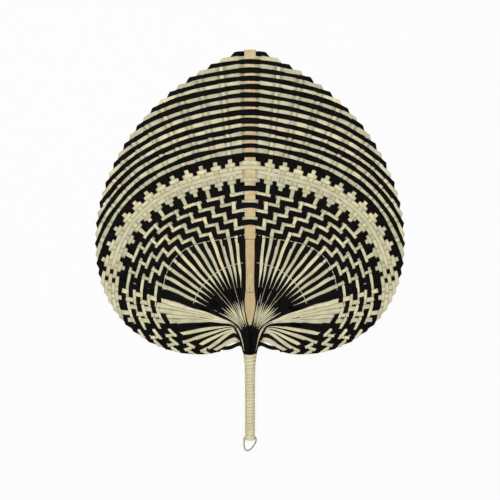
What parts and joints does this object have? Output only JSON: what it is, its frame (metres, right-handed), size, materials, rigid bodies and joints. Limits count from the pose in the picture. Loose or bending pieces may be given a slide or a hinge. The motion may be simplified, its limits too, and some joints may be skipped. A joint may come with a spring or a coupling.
{
  "type": "woven bamboo hand fan",
  "caption": "Rigid leaf-shaped hand fan woven from black and natural bamboo splints on a split-bamboo spine, with a bound round handle and a hanging loop.",
  "frame": {"origin": "under the middle of the fan's outline, on the surface that it lies on", "axes": "+Y along the spine towards the tip, +Z out of the woven face, +X to the right seen from the front"},
  "size_m": [0.311, 0.4024, 0.0118],
  "materials": {
    "natural_bamboo": "satin split bamboo, natural straw colour",
    "black_bamboo": "satin split bamboo, dyed black",
    "spine_bamboo": "satin bamboo skin, tan",
    "binding_strip": "satin cane strip, pale",
    "loop_cane": "dull cane strand, grey olive",
    "spacer_thread": "twisted natural thread"
  },
  "bodies": {
    "fan": {"splint_01": "black_bamboo", "splint_02": "natural_bamboo", "splint_03": "black_bamboo", "splint_04": "natural_bamboo", "splint_05": "black_bamboo", "splint_06": "natural_bamboo", "splint_07": "black_bamboo", "splint_08": "natural_bamboo", "splint_09": "black_bamboo", "splint_10": "natural_bamboo", "splint_11": "black_bamboo", "splint_12": "natural_bamboo", "splint_13": "black_bamboo", "splint_14": "natural_bamboo", "splint_15": "black_bamboo", "splint_16": "natural_bamboo", "splint_17": "black_bamboo", "splint_18": "natural_bamboo", "splint_19": "black_bamboo", "splint_20": "natural_bamboo", "splint_21": "black_bamboo", "splint_22": "natural_bamboo", "splint_23": "black_bamboo", "splint_24": "natural_bamboo", "splint_25": "black_bamboo", "splint_26": "black_bamboo", "splint_27": "natural_bamboo", "splint_28": "natural_bamboo", "splint_29": "natural_bamboo", "splint_30": "natural_bamboo", "splint_31": "natural_bamboo", "splint_32": "black_bamboo", "splint_33": "black_bamboo", "splint_34": "natural_bamboo", "splint_35": "black_bamboo", "splint_36": "natural_bamboo", "splint_37": "black_bamboo", "splint_38": "natural_bamboo", "splint_39": "black_bamboo", "splint_40": "natural_bamboo", "splint_41": "black_bamboo", "splint_42": "natural_bamboo", "splint_43": "black_bamboo", "spine": "spine_bamboo", "splint_roots": "black_bamboo", "splint_tails_front": "natural_bamboo", "splint_tails_back": "natural_bamboo", "handle_binding": "binding_strip", "end_wrap": "binding_strip", "inner_thread": "spacer_thread", "outer_thread": "spacer_thread"},
    "loop": {"hang_loop": "loop_cane"}
  },
  "joints": [
    {"name": "loop_swing", "type": "hinge", "parent": "fan", "child": "loop", "pos_m": [0, -0.18709, 0.0059], "axis": [1, 0, 0], "range_deg": [-145, 145]}
  ]
}
